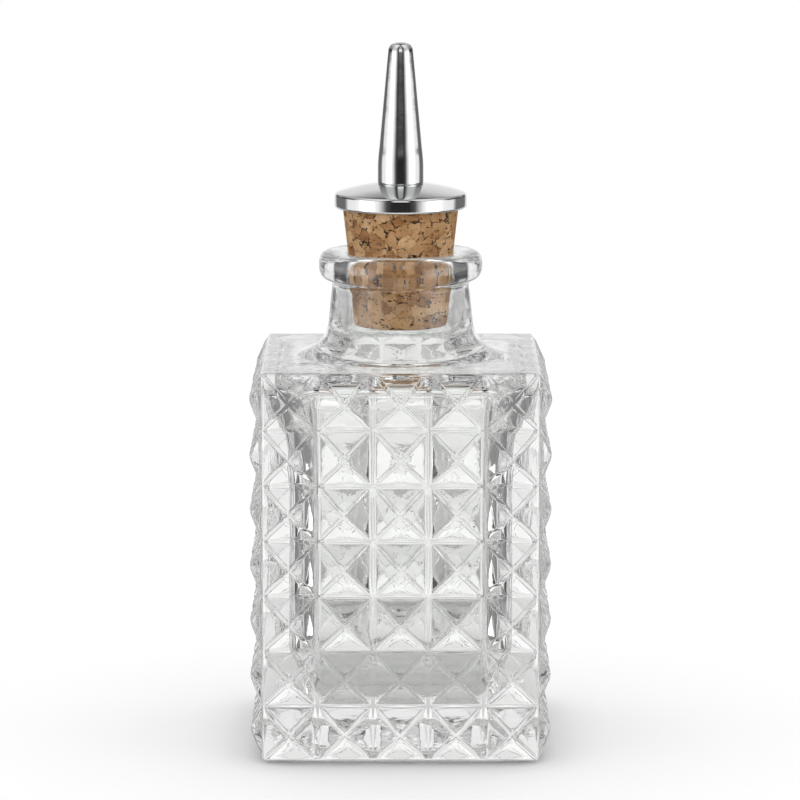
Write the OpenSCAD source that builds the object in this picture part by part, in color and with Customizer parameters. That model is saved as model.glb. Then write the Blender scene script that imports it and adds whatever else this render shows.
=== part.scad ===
// Square bitters bottle of clear pressed glass, every side covered with
// pyramid studs, closed by a tapered cork that carries a domed metal cap
// and a dashing spout.
// Origin: centre of the base, on the surface the bottle stands on. +Z is up.
// All sizes are in millimetres.

/* [Studded glass block] */
// Distance from one stud to the next across a side
stud_pitch_x = 10.55; // [10:0.05:11]
// Distance from one stud to the next up a side
stud_pitch_z = 10.62; // [10.2:0.02:11]
// Studs side by side on each side
stud_cols = 5; // [5:1:5]
// Rows of studs up each side
stud_rows = 7; // [7:1:7]
// How far the flat tip of a stud stands out from the grooves
stud_h = 2.28; // [1.6:0.02:2.6]
// Width of the flat groove between two studs
groove_w = 0.8; // [0.6:0.1:1.4]
// Width of the flat tip of a stud
tip_w = 1.1; // [0.7:0.1:1.8]
// Plain margin below the bottom row of studs
margin_bottom = 0.45; // [0.3:0.05:0.8]
// Plain margin above the top row of studs
margin_top = 0.2; // [0.1:0.05:0.5]

/* [Inside of the bottle] */
// Thickness of the glass under the cavity
floor_t = 10.8; // [9:0.2:13]
// Thickness of the glass shoulder over the cavity
shoulder_t = 3.0; // [2.5:0.1:4]
// Half of the cavity's width at mid height
cavity_hw = 21.2; // [19.5:0.1:22]
// Reach of the cavity from its middle into its rounded corners
cavity_diag = 27.2; // [26.8:0.1:27.6]
// Radius of the bore in the neck
bore_r = 10.3; // [10.25:0.05:10.8]

/* [Neck and lip] */
// Radius of the neck under the lip
neck_r = 13.15; // [12.6:0.05:13.6]
// Radius of the neck where its flare begins
neck_low_r = 13.85; // [13.7:0.05:14.2]
// Radius of the flare from the neck into the shoulder
flare_r = 7.0; // [6:0.2:8]
// Height of the lip's top above the base
lip_top = 95.0; // [94:0.1:96]
// Height of the lip from its underside to its top
lip_h = 5.7; // [5:0.1:6.4]
// Outer radius of the lip
lip_r = 15.72; // [15.2:0.02:16.2]

/* [Cork] */
// Height of the cork's lower end above the base
cork_bottom = 80.6; // [79:0.1:83]
// Height of the cork's upper end above the base
cork_top = 103.35; // [102:0.05:104.5]
// Radius of the cork at its lower end
cork_low_r = 9.1; // [8.7:0.05:9.3]
// Radius of the cork level with the lip's top
cork_mouth_r = 10.2; // [9.9:0.02:10.2]
// Radius of the cork at its upper end
cork_top_r = 11.15; // [10.9:0.05:11.5]

/* [Cap] */
// Outer radius of the cap
cap_r = 12.72; // [12.2:0.02:13.2]
// Height of the cap's upright rim
cap_rim_h = 2.8; // [2.2:0.1:3.4]
// Rise of the dome above the rim, at its middle
cap_dome_h = 2.1; // [1.6:0.1:2.6]

/* [Spout and stem tube] */
// Height of the spout's tip above the base
spout_top = 134.9; // [130:0.1:138]
// Radius of the spout's straight foot
spout_foot_r = 4.42; // [4.2:0.02:4.6]
// Radius of the spout just under its rounded tip
spout_tip_r = 2.42; // [2.2:0.02:2.7]
// Radius of the hole in the spout's tip
orifice_r = 0.95; // [0.6:0.05:1.2]
// Outer radius of the stem tube
stem_r = 3.0; // [2.6:0.05:3.1]
// Wall of the stem tube
stem_wall = 0.5; // [0.3:0.05:0.7]
// Radius of the flared end of the stem tube
stem_flange_r = 4.1; // [3.6:0.05:4.6]

/* [Hidden] */
$fn = 96;

half_w = stud_cols * stud_pitch_x / 2;
body_h = margin_bottom + stud_rows * stud_pitch_z + margin_top;

// Depth by which the wave up a side lies inside the wave across it, so that
// no two flats of the block fall in one plane.
wave_gap = 0.04;

// One side's outline as [distance along the side, height above the grooves].
function wave(n, pitch, tip) =
    [for (i = [0 : n - 1])
        for (p = [[groove_w / 2, 0],
                  [pitch / 2 - tip_w / 2, tip],
                  [pitch / 2 + tip_w / 2, tip],
                  [pitch - groove_w / 2, 0]])
            [i * pitch + p[0], p[1]]];

// Outline of the block seen from above: one side and its rounded corner,
// turned four times.
side_pts = [for (p = wave(stud_cols, stud_pitch_x, stud_h))
    [p[0] - half_w, -(half_w + p[1])]];
corner_c = half_w - groove_w / 2;
corner_pts = [for (a = [30, 60])
    [corner_c + groove_w / 2 * sin(a), -corner_c - groove_w / 2 * cos(a)]];
quarter_pts = concat(side_pts, corner_pts);
function turn(p, a) = [p[0] * cos(a) - p[1] * sin(a), p[0] * sin(a) + p[1] * cos(a)];
plan_pts = [for (q = [0 : 3]) for (p = quarter_pts) turn(p, q * 90)];

// Outline of the block seen from the side: [half width, height].
up_wave = wave(stud_rows, stud_pitch_z, stud_h - wave_gap);
up_hw = half_w - wave_gap;
stud_slope = (stud_h - wave_gap) / (stud_pitch_z / 2 - tip_w / 2 - groove_w / 2);
foot_z = 2.2;
foot_out = stud_slope * (foot_z - margin_bottom - groove_w / 2);
up_pts = concat(
    [[up_hw - 2.3, 0], [up_hw - 1.2, 0.16], [up_hw - 0.3, 0.62],
     [up_hw + 0.35, 1.35], [up_hw + foot_out, foot_z]],
    [for (i = [1 : len(up_wave) - 1])
        [up_hw + up_wave[i][1], margin_bottom + up_wave[i][0]]],
    [[up_hw - 0.14, body_h - 0.34], [up_hw - 0.45, body_h - 0.1],
     [up_hw - 0.9, body_h]]);

// A profile given as [half width, height] and its mirror image, closed.
function both_sides(pts) = concat(
    pts, [for (i = [len(pts) - 1 : -1 : 0]) [-pts[i][0], pts[i][1]]]);

// The cavity seen from the side: [half width, height] from the floor to the
// underside of the shoulder.
ceiling_z = body_h - shoulder_t;
cavity_pts = [
    [cavity_hw - 7.6, floor_t], [cavity_hw - 5.2, floor_t + 0.4],
    [cavity_hw - 3.2, floor_t + 1.5], [cavity_hw - 1.7, floor_t + 3.4],
    [cavity_hw - 0.5, floor_t + 6.6], [cavity_hw, floor_t + 12],
    [cavity_hw, ceiling_z - 26], [cavity_hw + 0.5, ceiling_z - 14],
    [cavity_hw + 1.4, ceiling_z - 8], [cavity_hw + 2.4, ceiling_z - 3.6],
    [cavity_hw + 2.6, ceiling_z - 1.6], [cavity_hw + 1.9, ceiling_z - 0.6],
    [cavity_hw + 0.2, ceiling_z]];
// The cavity seen from above: arcs of one radius round off its corners.
corner_mid = (cavity_diag - (cavity_hw + 3.2)) / (sqrt(2) - 1);
corner_arc = cavity_hw + 3.2 - corner_mid;
cavity_plan = [for (q = [0 : 3]) for (a = [10 : 7 : 80])
    turn([corner_mid + corner_arc * cos(a), corner_mid + corner_arc * sin(a)], q * 90)];

neck_z0 = body_h - 1;
flare_cr = neck_low_r + flare_r;
flare_cz = body_h + flare_r;
lip_under = lip_top - lip_h;

// Half of the wall of the neck and lip, from the shoulder to the lip's top.
neck_pts = concat(
    [[0, neck_z0], [flare_cr + 0.3, neck_z0]],
    [for (a = [80, 65, 50, 36, 23, 11, 0])
        [flare_cr - flare_r * cos(a), flare_cz - flare_r * sin(a)]],
    [[neck_r + 0.25, (flare_cz + lip_under) / 2], [neck_r, lip_under - 0.4],
     [neck_r + 0.35, lip_under + 0.02], [lip_r - 1.25, lip_under + 0.5],
     [lip_r - 0.52, lip_under + 1.2], [lip_r - 0.1, lip_under + 2.1],
     [lip_r, lip_under + 2.9], [lip_r - 0.1, lip_under + 3.7],
     [lip_r - 0.5, lip_top - 1.1], [lip_r - 1.2, lip_top - 0.42],
     [lip_r - 2.2, lip_top - 0.08], [lip_r - 3, lip_top],
     [0, lip_top]]);

cork_h = cork_top - cork_bottom;
shank_r = 3.8;
cap_z0 = cork_top;
cap_z1 = cap_z0 + cap_rim_h;
land_r = spout_foot_r + 0.1;
function dome_z(r) = cap_z1 + cap_dome_h * (1 - pow(r / cap_r, 2));
land_z = dome_z(land_r);
stem_top = land_z + 4;

// Block with studs on all four sides: where the wave across a side and the
// wave up it are cut out of one another, four-sided pyramids are left.
module studded_block() {
    intersection() {
        translate([0, 0, -1]) linear_extrude(height = body_h + 2) polygon(plan_pts);
        translate([0, 40, 0]) rotate([90, 0, 0]) linear_extrude(height = 80)
            polygon(both_sides(up_pts));
        rotate([0, 0, 90]) translate([0, 40, 0]) rotate([90, 0, 0])
            linear_extrude(height = 80) polygon(both_sides(up_pts));
    }
}

module cavity() {
    intersection() {
        translate([0, 0, floor_t - 1]) linear_extrude(height = ceiling_z - floor_t + 2)
            polygon(cavity_plan);
        translate([0, 40, 0]) rotate([90, 0, 0]) linear_extrude(height = 80)
            polygon(both_sides(cavity_pts));
        rotate([0, 0, 90]) translate([0, 40, 0]) rotate([90, 0, 0])
            linear_extrude(height = 80) polygon(both_sides(cavity_pts));
    }
}

// Bore of the neck, opening into the cavity below and rounded at the mouth.
module neck_bore() {
    rotate_extrude() polygon([
        [0, ceiling_z - 3], [13.2, ceiling_z - 0.6], [12.2, ceiling_z + 0.5],
        [11.2, ceiling_z + 1.7], [bore_r + 0.25, ceiling_z + 3.4],
        [bore_r, ceiling_z + 5.6], [bore_r, lip_top - 1.0],
        [bore_r + 0.14, lip_top - 0.5], [bore_r + 0.5, lip_top - 0.14],
        [bore_r + 1.2, lip_top + 0.1], [bore_r + 1.2, lip_top + 2],
        [0, lip_top + 2]]);
}

// Shallow dish under the base, so the bottle rests on a flat border.
module base_dish() {
    rotate_extrude() polygon([
        [0, -1], [19.6, -1], [19.6, 0.1], [18.6, 0.7], [14, 1.1], [0, 1.25]]);
}

module bottle() {
    color([0.86, 0.90, 0.90, 0.45])
    difference() {
        union() {
            studded_block();
            rotate_extrude() polygon(neck_pts);
        }
        cavity();
        neck_bore();
        base_dish();
    }
}

// Tapered cork, bored through for the stem tube and recessed below for the
// tube's flared end.
module cork() {
    color([0.72, 0.55, 0.38])
    rotate_extrude() polygon([
        [stem_r, cork_bottom + 0.5], [stem_flange_r, cork_bottom + 0.5],
        [stem_flange_r, cork_bottom], [cork_low_r - 0.35, cork_bottom],
        [cork_low_r, cork_bottom + 0.4], [cork_mouth_r, lip_top],
        [cork_top_r, cork_top - 0.45], [cork_top_r - 0.4, cork_top],
        [stem_r, cork_top]]);
}

// Domed round cap with an upright rim; its flat underside sits on the cork.
module cap() {
    color([0.80, 0.81, 0.83])
    rotate_extrude() polygon(concat(
        [[shank_r, cap_z0], [cap_r - 0.35, cap_z0], [cap_r, cap_z0 + 0.35],
         [cap_r, cap_z1 - 0.4], [cap_r - 0.12, cap_z1 - 0.12]],
        [for (k = [0 : 8]) let (r = cap_r - 0.5 - (cap_r - 0.5 - land_r) * k / 8)
            [r, dome_z(r)]],
        [[shank_r, land_z]]));
}

// Tapered spout: its shank is pressed through the cap, its shoulder sits on
// the dome, and its bore narrows to the hole in the tip.
module spout() {
    color([0.80, 0.81, 0.83])
    rotate_extrude() polygon([
        [stem_r, cap_z0], [shank_r, cap_z0], [shank_r, land_z],
        [spout_foot_r - 0.1, land_z], [spout_foot_r, land_z + 0.15],
        [spout_foot_r, land_z + 4.0], [spout_foot_r - 0.1, land_z + 5.2],
        [spout_tip_r, spout_top - 1.8], [spout_tip_r - 0.2, spout_top - 0.95],
        [spout_tip_r - 0.6, spout_top - 0.35], [spout_tip_r - 1.1, spout_top - 0.03],
        [orifice_r + 0.15, spout_top], [orifice_r, spout_top - 0.15],
        [orifice_r, spout_top - 2.4], [stem_r - stem_wall, stem_top + 1.0],
        [stem_r, stem_top], [stem_r, cap_z0]]);
}

// Tube through the cork that holds the metal top on it and carries the
// liquid; its upper end is pressed into the spout, its lower end is flared.
module stem_tube() {
    color([0.70, 0.71, 0.73])
    rotate_extrude() polygon([
        [stem_r - stem_wall, cork_bottom], [stem_flange_r, cork_bottom],
        [stem_flange_r, cork_bottom + 0.5], [stem_r, cork_bottom + 0.5],
        [stem_r, stem_top - 0.1], [stem_r - stem_wall, stem_top - 0.1]]);
}

bottle();
cork();
cap();
spout();
stem_tube();
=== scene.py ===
import bpy
import bmesh
import math
import random
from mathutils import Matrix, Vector, noise


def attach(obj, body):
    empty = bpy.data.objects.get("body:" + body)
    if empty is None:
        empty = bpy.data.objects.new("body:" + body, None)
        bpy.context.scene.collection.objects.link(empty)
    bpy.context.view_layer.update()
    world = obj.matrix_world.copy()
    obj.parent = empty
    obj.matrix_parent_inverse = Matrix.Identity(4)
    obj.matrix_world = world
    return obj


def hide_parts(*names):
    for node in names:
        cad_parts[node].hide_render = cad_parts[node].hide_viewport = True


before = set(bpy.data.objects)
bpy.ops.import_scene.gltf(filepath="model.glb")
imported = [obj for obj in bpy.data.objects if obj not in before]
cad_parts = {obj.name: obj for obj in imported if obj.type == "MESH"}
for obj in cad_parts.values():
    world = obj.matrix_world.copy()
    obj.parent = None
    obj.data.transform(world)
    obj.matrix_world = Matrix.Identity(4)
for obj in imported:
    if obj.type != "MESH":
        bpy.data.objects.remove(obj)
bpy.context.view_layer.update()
random.seed(7)
MM = 0.001


# ------------------------------------------------------------------ helpers
def link(obj):
    bpy.context.scene.collection.objects.link(obj)
    return obj


def mesh_object(name, verts, faces, mat, merge=2e-6):
    me = bpy.data.meshes.new(name)
    me.from_pydata([tuple(c * MM for c in v) for v in verts], [], faces)
    bm = bmesh.new()
    bm.from_mesh(me)
    if merge:
        bmesh.ops.remove_doubles(bm, verts=bm.verts, dist=merge)
    bmesh.ops.dissolve_degenerate(bm, dist=1e-7, edges=bm.edges)
    bmesh.ops.recalc_face_normals(bm, faces=bm.faces)
    for f in bm.faces:
        f.smooth = True
    bm.to_mesh(me)
    bm.free()
    me.materials.append(mat)
    return link(bpy.data.objects.new(name, me))


def spline(pts, per):
    """Centripetal Catmull-Rom through the control points, per steps a span."""
    out = []
    n = len(pts)
    for i in range(n - 1):
        p0 = pts[max(i - 1, 0)]
        p1, p2 = pts[i], pts[i + 1]
        p3 = pts[min(i + 2, n - 1)]
        def tj(ti, a, b):
            d = math.sqrt(sum((x - y) ** 2 for x, y in zip(a, b)))
            return ti + max(d, 1e-4) ** 0.5
        t0 = 0.0
        t1 = tj(t0, p0, p1) if i > 0 else 0.0
        if i == 0:
            p0 = tuple(2 * a - b for a, b in zip(p1, p2))
            t1 = tj(t0, p0, p1)
        if i == n - 2:
            p3 = tuple(2 * b - a for a, b in zip(p1, p2))
        t2 = tj(t1, p1, p2)
        t3 = tj(t2, p2, p3)
        for k in range(per):
            t = t1 + (t2 - t1) * k / per
            a1 = tuple((t1 - t) / (t1 - t0) * a + (t - t0) / (t1 - t0) * b for a, b in zip(p0, p1))
            a2 = tuple((t2 - t) / (t2 - t1) * a + (t - t1) / (t2 - t1) * b for a, b in zip(p1, p2))
            a3 = tuple((t3 - t) / (t3 - t2) * a + (t - t2) / (t3 - t2) * b for a, b in zip(p2, p3))
            b1 = tuple((t2 - t) / (t2 - t0) * a + (t - t0) / (t2 - t0) * b for a, b in zip(a1, a2))
            b2 = tuple((t3 - t) / (t3 - t1) * a + (t - t1) / (t3 - t1) * b for a, b in zip(a2, a3))
            out.append(tuple((t2 - t) / (t2 - t1) * a + (t - t1) / (t2 - t1) * b for a, b in zip(b1, b2)))
    out.append(tuple(pts[-1]))
    return out


def lathe(name, profile, segs, mat, closed=True, shape=None):
    """Turns a closed [r, z] outline about Z into a solid."""
    verts, faces = [], []
    n = len(profile)
    for i in range(segs):
        a = 2 * math.pi * i / segs
        for r, z in profile:
            p = (r * math.cos(a), r * math.sin(a), z)
            verts.append(shape(p, r, a, z) if shape else p)
    for i in range(segs):
        j = (i + 1) % segs
        for k in range(n if closed else n - 1):
            m = (k + 1) % n
            faces.append((i * n + k, j * n + k, j * n + m, i * n + m))
    return mesh_object(name, verts, faces, mat)


def nodes_of(mat):
    mat.use_nodes = True
    nt = mat.node_tree
    for nd in list(nt.nodes):
        nt.nodes.remove(nd)
    out = nt.nodes.new("ShaderNodeOutputMaterial")
    bsdf = nt.nodes.new("ShaderNodeBsdfPrincipled")
    nt.links.new(bsdf.outputs[0], out.inputs[0])
    return nt, bsdf, out


def ramp(nt, stops, interp="LINEAR"):
    r = nt.nodes.new("ShaderNodeValToRGB")
    r.color_ramp.interpolation = interp
    el = r.color_ramp.elements
    while len(el) > 1:
        el.remove(el[-1])
    el[0].position, el[0].color = stops[0][0], stops[0][1]
    for p, c in stops[1:]:
        e = el.new(p)
        e.color = c
    return r


def grey(v):
    return (v, v, v, 1.0)


def obj_coord(nt, scale=1.0):
    tc = nt.nodes.new("ShaderNodeTexCoord")
    mp = nt.nodes.new("ShaderNodeMapping")
    mp.inputs["Scale"].default_value = (scale, scale, scale)
    nt.links.new(tc.outputs["Object"], mp.inputs["Vector"])
    return mp


def noise_tex(nt, vec, scale, detail=2.0, rough=0.5):
    t = nt.nodes.new("ShaderNodeTexNoise")
    t.inputs["Scale"].default_value = scale
    t.inputs["Detail"].default_value = detail
    t.inputs["Roughness"].default_value = rough
    nt.links.new(vec.outputs[0], t.inputs["Vector"])
    return t


# ---------------------------------------------------------------- materials
def glass_material():
    mat = bpy.data.materials.new("clear_glass")
    nt, bsdf, out = nodes_of(mat)
    bsdf.inputs["Base Color"].default_value = (0.984, 0.991, 0.981, 1)
    bsdf.inputs["Transmission Weight"].default_value = 1.0
    bsdf.inputs["IOR"].default_value = 1.52
    bsdf.inputs["Roughness"].default_value = 0.0
    v = obj_coord(nt, 1.0)
    a = noise_tex(nt, v, 160.0, 2.0, 0.5)
    b = noise_tex(nt, v, 520.0, 2.0, 0.5)
    add = nt.nodes.new("ShaderNodeMath"); add.operation = "MULTIPLY_ADD"
    nt.links.new(b.outputs["Fac"], add.inputs[0])
    add.inputs[1].default_value = 0.22
    nt.links.new(a.outputs["Fac"], add.inputs[2])
    bump = nt.nodes.new("ShaderNodeBump")
    bump.inputs["Strength"].default_value = 1.0
    bump.inputs["Distance"].default_value = 0.00009
    nt.links.new(add.outputs[0], bump.inputs["Height"])
    nt.links.new(bump.outputs[0], bsdf.inputs["Normal"])
    return mat


def chrome_material():
    mat = bpy.data.materials.new("bright_metal")
    nt, bsdf, out = nodes_of(mat)
    bsdf.inputs["Metallic"].default_value = 1.0
    v = obj_coord(nt, 1.0)
    n1 = noise_tex(nt, v, 260.0, 4.0, 0.6)
    col = ramp(nt, [(0.3, (0.76, 0.765, 0.765, 1)), (0.7, (0.80, 0.805, 0.805, 1))])
    nt.links.new(n1.outputs["Fac"], col.inputs[0])
    nt.links.new(col.outputs[0], bsdf.inputs["Base Color"])
    # fine turning lines round the axis and soft handling marks
    st = nt.nodes.new("ShaderNodeMapping")
    st.inputs["Scale"].default_value = (60.0, 60.0, 4200.0)
    tc = nt.nodes.new("ShaderNodeTexCoord")
    nt.links.new(tc.outputs["Object"], st.inputs["Vector"])
    n2 = noise_tex(nt, st, 1.0, 3.0, 0.6)
    n3 = noise_tex(nt, v, 900.0, 3.0, 0.6)
    r = ramp(nt, [(0.25, grey(0.055)), (0.75, grey(0.12))])
    nt.links.new(n3.outputs["Fac"], r.inputs[0])
    nt.links.new(r.outputs[0], bsdf.inputs["Roughness"])
    bump = nt.nodes.new("ShaderNodeBump")
    bump.inputs["Strength"].default_value = 0.35
    bump.inputs["Distance"].default_value = 0.00001
    nt.links.new(n2.outputs["Fac"], bump.inputs["Height"])
    b2 = nt.nodes.new("ShaderNodeBump")
    b2.inputs["Strength"].default_value = 1.0
    b2.inputs["Distance"].default_value = 0.00004
    n4 = noise_tex(nt, v, 210.0, 2.0, 0.5)
    nt.links.new(n4.outputs["Fac"], b2.inputs["Height"])
    nt.links.new(bump.outputs[0], b2.inputs["Normal"])
    nt.links.new(b2.outputs[0], bsdf.inputs["Normal"])
    return mat


def tube_material():
    mat = bpy.data.materials.new("tube_metal")
    nt, bsdf, out = nodes_of(mat)
    bsdf.inputs["Metallic"].default_value = 1.0
    v = obj_coord(nt, 1.0)
    n1 = noise_tex(nt, v, 400.0, 4.0, 0.6)
    col = ramp(nt, [(0.3, (0.60, 0.60, 0.61, 1)), (0.7, (0.70, 0.70, 0.71, 1))])
    nt.links.new(n1.outputs["Fac"], col.inputs[0])
    nt.links.new(col.outputs[0], bsdf.inputs["Base Color"])
    r = ramp(nt, [(0.3, grey(0.18)), (0.7, grey(0.30))])
    nt.links.new(n1.outputs["Fac"], r.inputs[0])
    nt.links.new(r.outputs[0], bsdf.inputs["Roughness"])
    return mat


def cork_material():
    mat = bpy.data.materials.new("cork")
    nt, bsdf, out = nodes_of(mat)
    bsdf.inputs["Roughness"].default_value = 0.85
    bsdf.inputs["Specular IOR Level"].default_value = 0.25
    v = obj_coord(nt, 1.0)
    # pressed granules, each of nearly the same brown
    wob = noise_tex(nt, v, 700.0, 3.0, 0.6)
    mixv = nt.nodes.new("ShaderNodeVectorMath"); mixv.operation = "MULTIPLY_ADD"
    nt.links.new(wob.outputs["Color"], mixv.inputs[0])
    mixv.inputs[1].default_value = (0.0016, 0.0016, 0.0016)
    nt.links.new(v.outputs[0], mixv.inputs[2])
    vo = nt.nodes.new("ShaderNodeTexVoronoi")
    vo.inputs["Scale"].default_value = 430.0
    nt.links.new(mixv.outputs[0], vo.inputs["Vector"])
    sep = nt.nodes.new("ShaderNodeSeparateColor")
    nt.links.new(vo.outputs["Color"], sep.inputs[0])
    soft = noise_tex(nt, v, 260.0, 3.0, 0.6)
    tone = nt.nodes.new("ShaderNodeMix"); tone.data_type = "FLOAT"
    tone.inputs[0].default_value = 0.55
    nt.links.new(sep.outputs[0], tone.inputs[2])
    nt.links.new(soft.outputs["Fac"], tone.inputs[3])
    col = ramp(nt, [(0.22, (0.280, 0.128, 0.048, 1)), (0.39, (0.425, 0.220, 0.092, 1)),
                    (0.54, (0.530, 0.300, 0.138, 1)), (0.68, (0.640, 0.392, 0.202, 1)),
                    (0.80, (0.780, 0.530, 0.315, 1))])
    nt.links.new(tone.outputs[0], col.inputs[0])
    # fine fibrous speckle
    sp = noise_tex(nt, v, 3000.0, 5.0, 0.75)
    spr = ramp(nt, [(0.30, grey(0.66)), (0.48, grey(0.98)), (0.62, grey(1.06)), (0.8, grey(1.22))])
    nt.links.new(sp.outputs["Fac"], spr.inputs[0])
    m1 = nt.nodes.new("ShaderNodeMix"); m1.data_type = "RGBA"; m1.blend_type = "MULTIPLY"
    m1.inputs[0].default_value = 1.0
    nt.links.new(col.outputs[0], m1.inputs[6])
    nt.links.new(spr.outputs[0], m1.inputs[7])
    # dark joints between the granules, only here and there
    ve = nt.nodes.new("ShaderNodeTexVoronoi")
    ve.feature = "DISTANCE_TO_EDGE"
    ve.inputs["Scale"].default_value = 430.0
    nt.links.new(mixv.outputs[0], ve.inputs["Vector"])
    er = ramp(nt, [(0.0, grey(0.0)), (0.030, grey(0.10)), (0.066, grey(1.0))])
    nt.links.new(ve.outputs["Distance"], er.inputs[0])
    patch = noise_tex(nt, v, 520.0, 2.0, 0.5)
    pr = ramp(nt, [(0.51, grey(1.0)), (0.61, grey(0.05))])
    nt.links.new(patch.outputs["Fac"], pr.inputs[0])
    mx = nt.nodes.new("ShaderNodeMath"); mx.operation = "MAXIMUM"
    nt.links.new(er.outputs[0], mx.inputs[0])
    nt.links.new(pr.outputs[0], mx.inputs[1])
    # small dark pits, long across the axis
    pm = nt.nodes.new("ShaderNodeMapping")
    pm.inputs["Scale"].default_value = (1.0, 1.0, 1.7)
    pm.inputs["Rotation"].default_value = (0.3, 0.2, 0.0)
    nt.links.new(v.outputs[0], pm.inputs["Vector"])
    pit = noise_tex(nt, pm, 950.0, 3.0, 0.6)
    pitr = ramp(nt, [(0.358, grey(0.0)), (0.380, grey(1.0))])
    nt.links.new(pit.outputs["Fac"], pitr.inputs[0])
    mn = nt.nodes.new("ShaderNodeMath"); mn.operation = "MULTIPLY"
    nt.links.new(mx.outputs[0], mn.inputs[0])
    nt.links.new(pitr.outputs[0], mn.inputs[1])
    m2 = nt.nodes.new("ShaderNodeMix"); m2.data_type = "RGBA"
    nt.links.new(mn.outputs[0], m2.inputs[0])
    m2.inputs[6].default_value = (0.022, 0.012, 0.007, 1)
    nt.links.new(m1.outputs[2], m2.inputs[7])
    # painted light: the end that sits in the mouth is painted paler and pinker, standing in for the light that
    # reaches it through the glass neck and the neck's soft reflections over it
    sz = nt.nodes.new("ShaderNodeSeparateXYZ")
    nt.links.new(v.outputs[0], sz.inputs[0])
    low = nt.nodes.new("ShaderNodeMapRange")
    low.inputs["From Min"].default_value = 0.0940
    low.inputs["From Max"].default_value = 0.0956
    low.inputs["To Min"].default_value = 1.0
    low.inputs["To Max"].default_value = 0.0
    nt.links.new(sz.outputs[2], low.inputs["Value"])
    in_mouth_painted_light_mix = nt.nodes.new("ShaderNodeMix"); in_mouth_painted_light_mix.data_type = "RGBA"; in_mouth_painted_light_mix.blend_type = "MULTIPLY"
    nt.links.new(low.outputs[0], in_mouth_painted_light_mix.inputs[0])
    nt.links.new(m2.outputs[2], in_mouth_painted_light_mix.inputs[6])
    in_mouth_painted_light_mix.inputs[7].default_value = (1.50, 1.56, 1.66, 1)
    nt.links.new(in_mouth_painted_light_mix.outputs[2], bsdf.inputs["Base Color"])
    h = nt.nodes.new("ShaderNodeMath"); h.operation = "MULTIPLY_ADD"
    nt.links.new(sp.outputs["Fac"], h.inputs[0])
    h.inputs[1].default_value = 0.3
    nt.links.new(mn.outputs[0], h.inputs[2])
    bump = nt.nodes.new("ShaderNodeBump")
    bump.inputs["Strength"].default_value = 0.8
    bump.inputs["Distance"].default_value = 0.00018
    nt.links.new(h.outputs[0], bump.inputs["Height"])
    nt.links.new(bump.outputs[0], bsdf.inputs["Normal"])
    return mat


GLASS = glass_material()
CHROME = chrome_material()
TUBE = tube_material()
CORK = cork_material()

# ------------------------------------------------------------- glass bottle
PX, PZ = 10.55, 10.62
COLS, ROWS = 5, 7
STUD = 2.28
HALF = (PX + PZ) / 4
HW = COLS * PX / 2
M_BOT, M_TOP = 0.45, 0.20
BODY_H = M_BOT + ROWS * PZ + M_TOP
CORNER_R = 0.55


def smooth_max(a, b, k):
    h = max(k - abs(a - b), 0.0) / k
    return max(a, b) + h * h * k * 0.25


def smooth_min(a, b, k):
    return -smooth_max(-a, -b, k)


G2, G2U = 0.34, 0.50          # half widths of the level and upright grooves
TIP = 0.42
SLOPE = STUD / (HALF - G2 - TIP)
RIDGE_W, BEAD, BEAD_E = 0.42, 0.14, 0.11


def smooth_step(x):
    x = min(1.0, max(0.0, x))
    return x * x * (3 - 2 * x)


def stud_height(d, t):
    """Height on the ring d at the distance t from a ridge."""
    x = (d - G2) * SLOPE
    h = smooth_min(smooth_max(0.0, x, 0.16), STUD, 0.26)
    if t < RIDGE_W + BEAD_E:
        fade = smooth_step((d - G2 - 0.12) / 0.5) * smooth_step((HALF - 0.45 - d) / 0.7)
        if t < RIDGE_W:
            h -= fade * SLOPE * (RIDGE_W - t) ** 2 / (2 * RIDGE_W * 1.4142)
        h += fade * BEAD * smooth_step((RIDGE_W + 0.5 * BEAD_E - t) / BEAD_E)
    return h


RINGS = [0.0, 0.16, 0.28, 0.38, 0.50, 0.68, 1.0, 1.8, 2.8, 3.7, 4.15, 4.42, 4.62, 4.82, 5.04]
# distances from a ridge, across it, at which a ring has points
CROSS = [0.0, 0.15, 0.28, 0.34, 0.40, 0.46, 0.52, 0.66]
N_STRAIGHT = 3


def ring_points(j):
    d = RINGS[j]
    k = min(1.0, d / G2)
    gu = G2U * k if d <= G2 else G2U + (d - G2) * (HALF - G2U - TIP) / (HALF - G2 - TIP)
    au, av = HALF - gu, HALF - d
    pts = []
    for q in range(4):
        c, s = [(1, 0), (0, 1), (-1, 0), (0, -1)][q]
        p, w = (au, av) if q % 2 == 0 else (av, au)
        f = min(1.0, 0.8 * p / (CROSS[-1] * 1.4142))
        seq = [(-p + L * 1.4142 * f, L * f) for L in CROSS]
        x0 = seq[-1][0]
        for i in range(1, N_STRAIGHT):
            seq.append((x0 - 2 * x0 * i / N_STRAIGHT, 9.0))
        for L in CROSS[:0:-1]:
            seq.append((p - L * 1.4142 * f, L * f))
        for (u, t) in seq:
            v = -w
            pts.append((u * c - v * s, u * s + v * c, t))
    return pts


CELL = [ring_points(j) for j in range(len(RINGS))]
NRING = len(CELL[0])
STEPS = NRING // 4  # points on one side of a cell


def lerp_table(tab, x):
    if x <= tab[0][0]:
        return tab[0][1]
    for (x0, y0), (x1, y1) in zip(tab, tab[1:]):
        if x <= x1:
            t = (x - x0) / (x1 - x0)
            return y0 + (y1 - y0) * t
    return tab[-1][1]


FOOT = [(0.0, -2.35), (0.04, -1.75), (0.14, -1.2), (0.30, -0.75), (0.52, -0.35), (0.8, -0.02),
        (1.15, 0.26), (1.55, 0.46), (1.95, 0.60), (2.3, 0.74), (2.8, 1.05), (3.2, 5.0)]
HEAD = [(BODY_H - 1.0, 5.0), (BODY_H - 0.62, 0.02), (BODY_H - 0.42, -0.05), (BODY_H - 0.28, -0.14),
        (BODY_H - 0.16, -0.28), (BODY_H - 0.07, -0.48), (BODY_H - 0.02, -0.72), (BODY_H, -1.05)]


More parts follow.
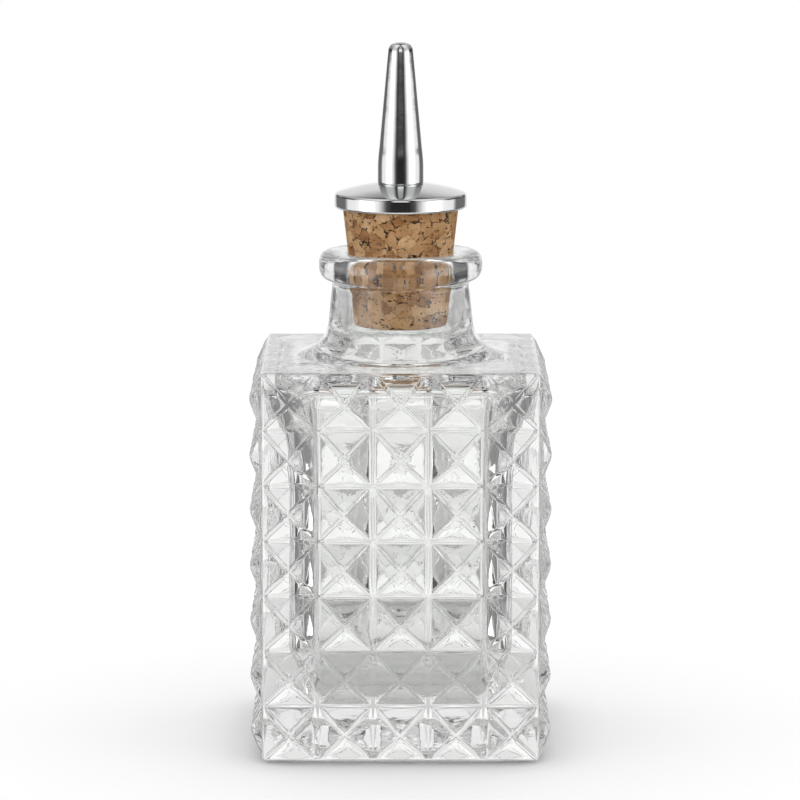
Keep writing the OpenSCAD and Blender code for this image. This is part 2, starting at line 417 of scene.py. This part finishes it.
def limit(h, z):
    if z < 3.2:
        h = smooth_min(h, lerp_table(FOOT, z), 0.25) if z > 0.5 else min(h, lerp_table(FOOT, z))
    if z > BODY_H - 1.0:
        h = min(h, lerp_table(HEAD, z))
    return h


def place(k, t, o, z):
    """Point on side k, t along it, o outside the groove plane, at height z."""
    r = CORNER_R
    base = max(o, -0.35)
    flat = HW - r
    if abs(t) <= flat:
        x, y = t, -(HW + base)
    else:
        phi = (abs(t) - flat) / r * math.pi / 4
        rr = r + base
        x = math.copysign(flat + rr * math.sin(phi), t)
        y = -(flat + rr * math.cos(phi))
        lim = math.hypot(flat, flat)
    if o < -0.35:
        f = (HW + o) / (HW - 0.35)
        x, y = x * f, y * f
    a = k * math.pi / 2
    c, s = round(math.cos(a)), round(math.sin(a))
    return (x * c - y * s, x * s + y * c, z)


def wobble(p, amp, scale, seed):
    v = Vector((p[0] / scale + seed, p[1] / scale - seed, p[2] / scale + 2 * seed))
    n = noise.noise_vector(v)
    return (p[0] + amp * n[0], p[1] + amp * n[1], p[2] + amp * n[2])


def side_params():
    """The places along a whole side at which its boundary rings have points."""
    ts = []
    row = [p[0] for p in CELL[0][:STEPS]]
    for c in range(COLS):
        mid = (c + 0.5) * PX - HW
        for u in row:
            ts.append(mid + u * PX / (2 * HALF))
    return ts


TS = side_params()
NR = 4 * len(TS)


def ring_at(o, z):
    return [place(k, t, o, z) for k in range(4) for t in TS]


def circle_ring(r, z, r_y=None):
    out = []
    for i in range(NR):
        a = -3 * math.pi / 4 + 2 * math.pi * i / NR
        out.append((r * math.cos(a), r * math.sin(a), z))
    return out


def rsq_ring(w, cr, z):
    """Rounded square of half width w and corner radius cr, points by perimeter."""
    f = w - cr
    straight, arc = 2 * f, math.pi / 2 * cr
    side = straight + arc
    out = []
    for k in range(4):
        for i in range(NR // 4):
            s = side * i / (NR // 4)  # from the middle of the corner at (-,-)
            if s < arc / 2:
                th = s / cr
                x, y = -f - cr * math.cos(math.pi / 4 + th), -f - cr * math.sin(math.pi / 4 + th)
            elif s < arc / 2 + straight:
                x, y = -f + (s - arc / 2), -w
            else:
                th = (s - arc / 2 - straight) / cr
                x, y = f + cr * math.sin(th), -f - cr * math.cos(th)
            a = k * math.pi / 2
            c, sn = round(math.cos(a)), round(math.sin(a))
            out.append((x * c - y * sn, x * sn + y * c, z))
    return out


def lerp_ring(a, b, t, z=None):
    return [tuple(p[i] * (1 - t) + q[i] * t if (i < 2 or z is None) else z for i in range(3))
            for p, q in zip(a, b)]


def build_bottle():
    verts, faces = [], []

    def add_ring(ring):
        base = len(verts)
        verts.extend(ring)
        return list(range(base, base + len(ring)))

    def bridge(a, b):
        n = len(a)
        for i in range(n):
            j = (i + 1) % n
            faces.append((a[i], a[j], b[j], b[i]))

    rnd = random.Random(31)
    # studs
    for k in range(4):
        for c in range(COLS):
            for r in range(ROWS):
                mt = (c + 0.5) * PX - HW
                mz = M_BOT + (r + 0.5) * PZ
                gain = 1.0 + rnd.uniform(-0.025, 0.012)
                tu, tv = rnd.uniform(-0.12, 0.12), rnd.uniform(-0.12, 0.12)
                idx = []
                for j, pts in enumerate(CELL):
                    d = RINGS[j]
                    row = []
                    for (u, v, w) in pts:
                        h0 = stud_height(d, w) * gain
                        lean = h0 / STUD
                        t = mt + u * PX / (2 * HALF) + tu * lean
                        z = mz + v * PZ / (2 * HALF) + tv * lean
                        row.append(len(verts))
                        verts.append(place(k, t, limit(h0, z), z))
                    idx.append(row)
                for a, b in zip(idx, idx[1:]):
                    bridge(a, b)
                cen = len(verts)
                zc = mz + tv
                verts.append(place(k, mt + tu, limit(STUD * gain, zc), zc))
                last = idx[-1]
                for i in range(NRING):
                    faces.append((last[i], last[(i + 1) % NRING], cen))

    # top edge and shoulder, out to the flare of the neck
    zt = BODY_H - M_TOP
    prev = add_ring(ring_at(limit(0.0, zt), zt))
    for z, o in ((BODY_H - 0.11, None), (BODY_H - 0.05, None), (BODY_H - 0.012, -0.80), (BODY_H, -1.15)):
        o = lerp_table(HEAD, z) if o is None else o
        cur = add_ring(ring_at(o, z))
        bridge(prev, cur)
        prev = cur
    sq = ring_at(-1.15, BODY_H)
    neck = spline(NECK, 5)
    circ = circle_ring(neck[0][0], neck[0][1])
    for s in (0.12, 0.3, 0.5, 0.7, 0.86, 0.95):
        ring = lerp_ring(sq, circ, s)
        ring = [(x, y, BODY_H + (neck[0][1] - BODY_H) * s ** 3) for x, y, z in ring]
        cur = add_ring(ring)
        bridge(prev, cur)
        prev = cur
    for r, z in neck:
        cur = add_ring(circle_ring(r, z))
        bridge(prev, cur)
        prev = cur
    # mouth, bore, down to the cavity's ceiling
    for r, z in spline(BORE, 4)[1:]:
        cur = add_ring(circle_ring(r, z))
        bridge(prev, cur)
        prev = cur
    # ceiling: circle to rounded square
    c0 = circle_ring(BORE[-1][0], BORE[-1][1])
    lv = spline(CAVITY, 4)
    w0, cr0, z0 = lv[0]
    r0 = rsq_ring(w0, cr0, z0)
    for s in (0.15, 0.35, 0.55, 0.75, 0.9):
        ring = lerp_ring(c0, r0, s)
        zz = BORE[-1][1] + (z0 - BORE[-1][1]) * (1 - (1 - s) ** 2)
        cur = add_ring([(x, y, zz) for x, y, z in ring])
        bridge(prev, cur)
        prev = cur
    for w, cr, z in lv:
        cur = add_ring(rsq_ring(w, cr, z))
        bridge(prev, cur)
        prev = cur
    w1, cr1, z1 = lv[-1]
    for s, dz in ((0.75, -0.10), (0.5, -0.16), (0.25, -0.2)):
        cur = add_ring([(x * s, y * s, z1 + dz) for x, y, z in rsq_ring(w1, cr1, z1)])
        bridge(prev, cur)
        prev = cur
    cen = len(verts)
    verts.append((0, 0, z1 - 0.2))
    for i in range(NR):
        faces.append((prev[i], prev[(i + 1) % NR], cen))

    # bottom edge, resting border and dish
    zb = M_BOT
    prev = add_ring(ring_at(limit(0.0, zb), zb))
    for z in (0.30, 0.14, 0.04, 0.0):
        cur = add_ring(ring_at(lerp_table(FOOT, z), z))
        bridge(prev, cur)
        prev = cur
    sq = ring_at(FOOT[0][1], 0.0)
    circ = circle_ring(19.7, 0.0)
    for s in (0.3, 0.6, 1.0):
        cur = add_ring(lerp_ring(sq, circ, s))
        bridge(prev, cur)
        prev = cur
    for r, z in spline(DISH, 4)[1:]:
        cur = add_ring(circle_ring(r, z))
        bridge(prev, cur)
        prev = cur
    cen = len(verts)
    verts.append((0, 0, DISH[-1][1]))
    for i in range(NR):
        faces.append((prev[i], prev[(i + 1) % NR], cen))

    # fire-polished unevenness: small outside, larger inside
    out = []
    for p in verts:
        r = math.hypot(p[0], p[1])
        inside = (r < 10.9 and p[2] > 9.0) or (p[2] > 9.0 and p[2] < BODY_H - 2.2 and max(abs(p[0]), abs(p[1])) < HW - 2.0)
        if inside and p[2] < BODY_H - 1.0:
            q = wobble(p, 0.10, 13.0, 3.3)
            q = wobble(q, 0.03, 5.0, 8.1)
        elif inside:
            q = wobble(p, 0.05, 6.0, 3.3)
        elif p[2] < 0.02:
            q = p
        else:
            q = wobble(p, 0.05, 7.0, 1.7)
        if p[2] <= 0.45 and not inside:
            q = (q[0], q[1], p[2])
        out.append(q)
    return mesh_object("glass_bottle", out, faces, GLASS)


FLARE_C = 13.85 + 7.0
NECK = [(19.9, BODY_H + 0.10)] + \
       [(FLARE_C - 7.0 * math.cos(math.radians(a)), BODY_H + 7.0 - 7.0 * math.sin(math.radians(a)) + 0.06)
        for a in (72, 60, 48, 36, 24, 12, 2)] + \
       [(13.62, 84.2), (13.35, 86.6), (13.18, 88.4), (13.36, 89.05), (13.95, 89.36), (14.75, 89.76),
        (15.36, 90.42), (15.64, 91.2), (15.72, 92.1), (15.70, 93.0), (15.50, 93.85), (15.02, 94.48),
        (14.3, 94.85), (13.4, 95.0), (12.6, 95.0), (11.9, 94.93)]
BORE = [(11.9, 94.93), (11.1, 94.72), (10.62, 94.2), (10.4, 93.3), (10.34, 90.0), (10.32, 85.0), (10.32, 80.0),
        (10.45, 77.0), (10.9, 75.0), (11.9, 73.4), (13.2, 72.5)]
CEIL = BODY_H - 3.0
CAVITY = [(21.3, 6.0, CEIL - 0.05), (22.9, 6.2, CEIL - 0.5), (23.8, 6.4, CEIL - 1.5), (23.7, 6.5, CEIL - 3.0),
          (23.0, 6.6, CEIL - 6), (22.1, 6.7, CEIL - 10.5), (21.4, 6.8, CEIL - 15), (21.2, 6.8, CEIL - 26),
          (21.2, 6.8, 22.8), (20.7, 6.8, 17.4), (19.4, 6.8, 14.2), (17.8, 6.8, 12.3), (15.8, 6.6, 11.3),
          (13.4, 6.0, 10.9)]
DISH = [(19.7, 0.0), (19.2, 0.28), (18.2, 0.72), (15.0, 1.05), (9.0, 1.2), (3.0, 1.25)]

bottle = build_bottle()
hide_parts("bottle")
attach(bottle, "bottle")

# --------------------------------------------------------------------- cork
CORK_LO, CORK_HI = 80.6, 103.35


def cork_radius(z):
    return lerp_table([(80.6, 9.1), (92.7, 10.02), (95.0, 10.2), (103.35, 11.15)], z)


def build_cork():
    outline = []
    outline += [(3.0, CORK_LO + 0.5), (4.1, CORK_LO + 0.5), (4.1, CORK_LO)]
    outline += [(4.9, CORK_LO), (5.9, CORK_LO), (6.9, CORK_LO), (7.9, CORK_LO), (8.7, CORK_LO)]
    outline += [(9.0, CORK_LO + 0.12)]
    n = 92
    for i in range(n + 1):
        z = CORK_LO + 0.4 + (CORK_HI - 0.45 - CORK_LO - 0.4) * i / n
        outline.append((cork_radius(z), z))
    outline += [(11.0, CORK_HI - 0.14), (10.75, CORK_HI), (8.0, CORK_HI), (5.0, CORK_HI), (3.0, CORK_HI)]

    def shape(p, r, a, z):
        if r < 4.5 or (z <= CORK_LO + 0.05 and r < 8.5) or z >= CORK_HI - 0.01:
            return p
        q = Vector((p[0], p[1], z))
        # granules press the surface in and out; pits go deeper
        g = noise.noise(q * 0.55 + Vector((9, 2, 5)))
        d = -0.05 * abs(g)
        m = noise.noise(Vector((q[0] * 0.9, q[1] * 0.9, q[2] * 1.7)) + Vector((3, 7, 1)))
        m2 = noise.noise(Vector((q[0] * 2.1, q[1] * 2.1, q[2] * 3.4)) + Vector((13, 5, 8)))
        pit = max(0.0, m + 0.45 * m2 - 0.42)
        d -= min(0.75, 1.9 * pit)
        d -= 0.035 * abs(m2)
        f = (r + d) / r
        return (p[0] * f, p[1] * f, z)
    return lathe("cork_stopper", outline, 300, CORK, shape=shape)


cork = build_cork()
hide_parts("cork")
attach(cork, "stopper")

# ---------------------------------------------------------- cap and spout
CAP0, CAP1, CAP_R, DOME = CORK_HI, CORK_HI + 2.8, 12.72, 2.1
SHANK, LAND_R = 3.8, 4.52


def dome_z(r):
    return CAP1 + DOME * (1 - (r / CAP_R) ** 2)


LAND = dome_z(LAND_R)
cap_out = [(SHANK, CAP0), (7.0, CAP0), (10.0, CAP0), (CAP_R - 0.42, CAP0)]
for a in (15, 35, 55, 75):
    cap_out.append((CAP_R - 0.34 + 0.34 * math.sin(math.radians(a)), CAP0 + 0.34 - 0.34 * math.cos(math.radians(a))))
cap_out += [(CAP_R, CAP0 + 0.45), (CAP_R, CAP0 + 1.2), (CAP_R, CAP1 - 0.6)]
for a in (5, 20, 35, 50, 65, 80):
    cap_out.append((CAP_R - 0.5 + 0.5 * math.cos(math.radians(a)), CAP1 - 0.5 + 0.62 * math.sin(math.radians(a))))
for i in range(1, 26):
    r = (CAP_R - 0.62) + (LAND_R - CAP_R + 0.62) * i / 25
    cap_out.append((r, dome_z(r)))
cap_out += [(SHANK, LAND)]
cap = lathe("cap", cap_out, 160, CHROME)
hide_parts("cap")
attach(cap, "stopper")

TOP = 134.9
sp = [(3.0, CAP0), (3.4, CAP0), (SHANK, CAP0), (SHANK, CAP0 + 2.0), (SHANK, LAND), (4.30, LAND)]
sp += [(4.38, LAND + 0.05), (4.42, LAND + 0.16), (4.42, LAND + 0.5)]
outer = spline([(4.42, LAND + 0.5), (4.42, LAND + 2.2), (4.41, LAND + 3.8), (4.30, LAND + 5.4), (4.10, 115.2), (3.88, 117.6),
                (3.55, 121.2), (3.20, 124.9), (2.90, 128.2), (2.60, 131.4), (2.43, 133.1)], 4)
sp += outer[1:]
sp += spline([(2.43, 133.1), (2.34, 133.75), (2.12, 134.3), (1.78, 134.68), (1.40, 134.86), (1.12, 134.9),
              (0.98, 134.84), (0.95, 134.7)], 3)[1:]
sp += [(0.95, 133.6), (0.95, 132.5), (1.3, 128.0), (1.8, 121.0), (2.3, 114.0), (2.5, LAND + 5.0), (3.0, LAND + 4.0), (3.0, LAND + 1)]
spout = lathe("spout", sp, 128, CHROME)
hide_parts("spout")
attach(spout, "stopper")

# ---------------------------------------------------------------- stem tube
st = [(2.5, CORK_LO), (2.9, CORK_LO), (3.6, CORK_LO), (3.95, CORK_LO + 0.04), (4.08, CORK_LO + 0.16), (4.08, CORK_LO + 0.36),
      (4.0, CORK_LO + 0.48), (3.4, CORK_LO + 0.5), (3.0, CORK_LO + 0.62), (3.0, 92.0), (3.0, LAND + 3.9), (2.5, LAND + 3.9), (2.5, 92.0)]
tube = lathe("stem_tube_drawn", st, 96, TUBE)
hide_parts("stem_tube")
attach(tube, "stopper")

# -------------------------------------------------------------------- floor
fl_me = bpy.data.meshes.new("floor")
ZF = -0.0002
FX, FY0, FY1 = 0.40, -0.30, 1.00
fl_me.from_pydata([(-FX, FY0, ZF), (FX, FY0, ZF), (FX, FY1, ZF), (-FX, FY1, ZF)], [], [(0, 1, 2, 3)])
floor_mat = bpy.data.materials.new("floor")
nt, bsdf, out = nodes_of(floor_mat)
bsdf.inputs["Roughness"].default_value = 0.9
bsdf.inputs["Specular IOR Level"].default_value = 0.1
def f_math(op, a_, b_=None):
    m = nt.nodes.new("ShaderNodeMath")
    m.operation = op
    for i, q in ((0, a_), (1, b_)):
        if q is None:
            continue
        if isinstance(q, (int, float)):
            m.inputs[i].default_value = q
        else:
            nt.links.new(q, m.inputs[i])
    return m.outputs[0]


def f_ramp(fac, stops, lo, hi):
    r = ramp(nt, [((x - lo) / (hi - lo), grey(y)) for x, y in stops])
    m = nt.nodes.new("ShaderNodeMapRange")
    m.inputs["From Min"].default_value = lo
    m.inputs["From Max"].default_value = hi
    nt.links.new(fac, m.inputs["Value"])
    nt.links.new(m.outputs[0], r.inputs[0])
    return r.outputs[0]


def f_mix(kind, fac, a_, b_):
    m = nt.nodes.new("ShaderNodeMix"); m.data_type = "RGBA"; m.blend_type = kind
    if isinstance(fac, float):
        m.inputs[0].default_value = fac
    else:
        nt.links.new(fac, m.inputs[0])
    nt.links.new(a_, m.inputs[6])
    nt.links.new(b_, m.inputs[7])
    return m.outputs[2]


v = obj_coord(nt, 1.0)
sxy = nt.nodes.new("ShaderNodeSeparateXYZ")
nt.links.new(v.outputs[0], sxy.inputs[0])
ax = f_math("ABSOLUTE", sxy.outputs[0])
ay = f_math("ABSOLUTE", sxy.outputs[1])
# distance measure with square, rounded contours, 1 at the edge of the foot
sq = f_math("POWER", f_math("ADD", f_math("POWER", f_math("DIVIDE", ax, 0.0255), 7.0),
                            f_math("POWER", f_math("DIVIDE", ay, 0.0255), 7.0)), 1.0 / 7.0)
# painted shadow: a soft darker band in the floor colour round the bottle's foot
painted_foot_shadow = f_ramp(sq, [(0.90, 1.0), (0.98, 0.68), (1.04, 0.68), (1.09, 0.80), (1.18, 0.92), (1.34, 0.97), (1.6, 1.0)], 0.8, 1.8)
# painted shade, for rays other than the camera's: the pale floor's colour falls off at both sides of the bottle and
# close round it
mid = f_ramp(sxy.outputs[1], [(-0.20, 0.88), (-0.08, 0.80), (-0.03, 0.86), (0.03, 0.86), (0.036, 0.70), (0.10, 0.80),
                              (0.28, 0.86), (0.45, 0.88)], -0.3, 1.0)
flank = f_ramp(sxy.outputs[1], [(-0.22, 0.88), (-0.15, 0.64), (-0.09, 0.22), (0.08, 0.17), (0.16, 0.40),
                                (0.28, 0.64), (0.45, 0.74)], -0.3, 1.0)
zone = f_ramp(ax, [(0.035, 0.0), (0.085, 1.0)], 0.0, 0.3)
off_camera_painted_floor_shade = f_mix("MULTIPLY", 1.0, f_mix("MIX", zone, mid, flank), painted_foot_shadow)
# floor colour the camera sees: an even pale grey times the painted shadow round the foot; all other rays see the
# painted shade falloff
paper = nt.nodes.new("ShaderNodeRGB")
paper.outputs[0].default_value = grey(0.86)
camera_floor_painted_shadow = f_mix("MULTIPLY", 1.0, paper.outputs[0], painted_foot_shadow)
lpf = nt.nodes.new("ShaderNodeLightPath")
nt.links.new(f_mix("MIX", lpf.outputs["Is Camera Ray"], off_camera_painted_floor_shade, camera_floor_painted_shadow), bsdf.inputs["Base Color"])
# painted light: the floor glows a little. For camera rays it glows everywhere so it reads white, less just round the
# foot's edge, which deepens the painted shadow there; for other rays only the floor under the foot glows
glow = f_ramp(sq, [(0.94, 1.0), (1.0, 0.15), (1.12, 0.55), (1.4, 1.0)], 0.8, 1.8)
glow2 = f_ramp(sq, [(0.94, 1.0), (1.0, 0.0)], 0.8, 1.8)
bsdf.inputs["Emission Color"].default_value = (1, 1, 1, 1)
nt.links.new(f_math("MULTIPLY", f_mix("MIX", lpf.outputs["Is Camera Ray"], glow2, glow), 0.12),
             bsdf.inputs["Emission Strength"])
fl_me.materials.append(floor_mat)
floor = link(bpy.data.objects.new("floor", fl_me))

# -------------------------------------------------------------------- world
world = bpy.data.worlds.new("studio")
bpy.context.scene.world = world
world.use_nodes = True
nt = world.node_tree
for nd in list(nt.nodes):
    nt.nodes.remove(nd)
wout = nt.nodes.new("ShaderNodeOutputWorld")
tc = nt.nodes.new("ShaderNodeTexCoord")
flat = nt.nodes.new("ShaderNodeVectorMath"); flat.operation = "MULTIPLY"
flat.inputs[1].default_value = (1, 1, 0)
nt.links.new(tc.outputs["Generated"], flat.inputs[0])
nrm = nt.nodes.new("ShaderNodeVectorMath"); nrm.operation = "NORMALIZE"
nt.links.new(flat.outputs[0], nrm.inputs[0])
dot = nt.nodes.new("ShaderNodeVectorMath"); dot.operation = "DOT_PRODUCT"
dot.inputs[1].default_value = (0, -1, 0)
nt.links.new(nrm.outputs[0], dot.inputs[0])
ac = nt.nodes.new("ShaderNodeMath"); ac.operation = "ARCCOSINE"
nt.links.new(dot.outputs["Value"], ac.inputs[0])
sc_ = nt.nodes.new("ShaderNodeMath"); sc_.operation = "DIVIDE"
nt.links.new(ac.outputs[0], sc_.inputs[0])
sc_.inputs[1].default_value = math.pi
# 0 is towards the camera's side, 1 is behind the bottle: a dark room in
# front, a tall soft box on each side, dark gaps, and a pale backdrop
def deg(a):
    return a / 180.0


AZ = ramp(nt, [(deg(15), grey(0.03)), (deg(25), grey(0.08)), (deg(33), grey(0.55)), (deg(40), grey(0.98)),
               (deg(52), grey(1.12)), (deg(72), grey(1.12)), (deg(86), grey(1.0)), (deg(104), grey(0.95))])
nt.links.new(sc_.outputs[0], AZ.inputs[0])
sepw = nt.nodes.new("ShaderNodeSeparateXYZ")
nt.links.new(tc.outputs["Generated"], sepw.inputs[0])
asn = nt.nodes.new("ShaderNodeMath"); asn.operation = "ARCSINE"
nt.links.new(sepw.outputs[2], asn.inputs[0])
hgt = nt.nodes.new("ShaderNodeMath"); hgt.operation = "MULTIPLY_ADD"
nt.links.new(asn.outputs[0], hgt.inputs[0])
hgt.inputs[1].default_value = 1.0 / math.pi
hgt.inputs[2].default_value = 0.5


def ele(a):
    return 0.5 + a / 180.0


def ele_ramp(stops):
    r = ramp(nt, [(ele(x), grey(y)) for x, y in stops])
    nt.links.new(hgt.outputs[0], r.inputs[0])
    return r


def mix_world(kind, fac, a_, b_):
    m = nt.nodes.new("ShaderNodeMix"); m.data_type = "RGBA"; m.blend_type = kind
    if fac is None:
        m.inputs[0].default_value = 1.0
    else:
        nt.links.new(fac.outputs[0], m.inputs[0])
    nt.links.new(a_, m.inputs[6])
    nt.links.new(b_, m.inputs[7])
    return m.outputs[2]


# in front: a dark room with a soft box over the camera
FRONT = ele_ramp([(-70, 0.80), (-30, 0.50), (-18, 0.16), (-12, 0.03), (3, 0.02), (8, 0.16), (12, 1.15), (22, 1.30),
                  (28, 0.75), (34, 0.50), (50, 0.50), (70, 0.25)])
# at the sides: tall soft boxes
SIDE = ele_ramp([(-60, 0.98), (-12, 1.04), (0, 1.08), (8, 1.08), (13, 0.85), (20, 0.68), (30, 0.62), (38, 0.68),
                 (50, 0.90), (65, 1.0)])
# between them and the sweep: dark gaps, lit only below and overhead
GAP = ele_ramp([(-60, 0.50), (-20, 0.32), (-11, 0.18), (-4, 0.18), (1, 0.15), (4, 0.04), (11, 0.04), (16, 0.14),
                (24, 0.30), (34, 0.42), (46, 0.55), (60, 0.85)])
# behind: a pale sweep that ends well below the ceiling
BACK = ele_ramp([(-60, 0.60), (-12, 0.80), (-4, 0.98), (3, 1.02), (10, 0.86), (22, 0.80), (28, 0.70), (34, 0.46),
                 (42, 0.20), (50, 0.02)])
# near the floor the side boxes reach further back
low = ele_ramp([(1, 0.125), (4, 0.0)])
azl = nt.nodes.new("ShaderNodeMath"); azl.operation = "SUBTRACT"
nt.links.new(sc_.outputs[0], azl.inputs[0])
nt.links.new(low.outputs[0], azl.inputs[1])
side = mix_world("MULTIPLY", None, AZ.outputs[0], SIDE.outputs[0])
zg = ramp(nt, [(deg(81), grey(0.0)), (deg(91), grey(1.0))])
nt.links.new(azl.outputs[0], zg.inputs[0])
zb = ramp(nt, [(deg(149), grey(0.0)), (deg(160), grey(1.0))])
nt.links.new(sc_.outputs[0], zb.inputs[0])
zf = ramp(nt, [(deg(12), grey(1.0)), (deg(18), grey(0.0))])
nt.links.new(sc_.outputs[0], zf.inputs[0])
flanks = mix_world("MIX", zg, side, GAP.outputs[0])
round_ = mix_world("MIX", zb, flanks, BACK.outputs[0])
room = mix_world("MIX", zf, round_, FRONT.outputs[0])
# the lamp's own glow in the middle of each side box
lampa = ramp(nt, [(deg(45), grey(0.0)), (deg(54), grey(1.0)), (deg(69), grey(1.0)), (deg(78), grey(0.0))])
nt.links.new(sc_.outputs[0], lampa.inputs[0])
lampe = ele_ramp([(-24, 0.0), (-15, 1.7), (2, 1.7), (11, 0.0)])
lit = mix_world("ADD", None, room, mix_world("MULTIPLY", None, lampa.outputs[0], lampe.outputs[0]))
# a white card at each side of the sweep
carda = ramp(nt, [(deg(125), grey(0.0)), (deg(131), grey(1.0)), (deg(143), grey(1.0)), (deg(149), grey(0.0))])
nt.links.new(sc_.outputs[0], carda.inputs[0])
carde = ele_ramp([(8.5, 0.0), (11, 0.42), (17, 0.40), (22, 0.0)])
studio = mix_world("ADD", None, lit, mix_world("MULTIPLY", None, carda.outputs[0], carde.outputs[0]))
bg = nt.nodes.new("ShaderNodeBackground")
nt.links.new(studio, bg.inputs[0])
bg.inputs[1].default_value = 1.0
# what matt surfaces are lit by: an even soft dome, brighter overhead
EL2 = ramp(nt, [(0.0, grey(0.80)), (0.5, grey(1.0)), (1.0, grey(1.30))])
nt.links.new(sepw.outputs[2], EL2.inputs[0])
bgd = nt.nodes.new("ShaderNodeBackground")
nt.links.new(EL2.outputs[0], bgd.inputs[0])
bgd.inputs[1].default_value = 1.0
bgc = nt.nodes.new("ShaderNodeBackground")
bgc.inputs[0].default_value = grey(1.0)
bgc.inputs[1].default_value = 1.0
lp = nt.nodes.new("ShaderNodeLightPath")
ms = nt.nodes.new("ShaderNodeMixShader")
md = nt.nodes.new("ShaderNodeMixShader")
dd = nt.nodes.new("ShaderNodeMath"); dd.operation = "GREATER_THAN"
dd.inputs[1].default_value = 0.5
nt.links.new(lp.outputs["Diffuse Depth"], dd.inputs[0])
nt.links.new(dd.outputs[0], md.inputs[0])
nt.links.new(bg.outputs[0], md.inputs[1])
nt.links.new(bgd.outputs[0], md.inputs[2])
nt.links.new(lp.outputs["Is Camera Ray"], ms.inputs[0])
nt.links.new(md.outputs[0], ms.inputs[1])
nt.links.new(bgc.outputs[0], ms.inputs[2])
nt.links.new(ms.outputs[0], wout.inputs[0])

# ------------------------------------------------------------------- camera
D, HC, TILT, F = 0.875, 0.2079, math.radians(9.23), 4577.0
cam_d = bpy.data.cameras.new("camera")
cam_d.sensor_fit = "HORIZONTAL"
cam_d.sensor_width = 36.0
cam_d.lens = F * 36.0 / 800.0
cam_d.clip_start = 0.01
cam_d.clip_end = 50.0
cam = link(bpy.data.objects.new("camera", cam_d))
cam.location = (-0.00012, -D, HC)
cam.rotation_euler = (math.pi / 2 - TILT, 0, 0)
bpy.context.scene.camera = cam

sc = bpy.context.scene
sc.view_settings.view_transform = "Standard"
sc.view_settings.look = "None"
sc.cycles.max_bounces = 24
sc.cycles.transmission_bounces = 24
sc.cycles.glossy_bounces = 12
sc.cycles.diffuse_bounces = 4
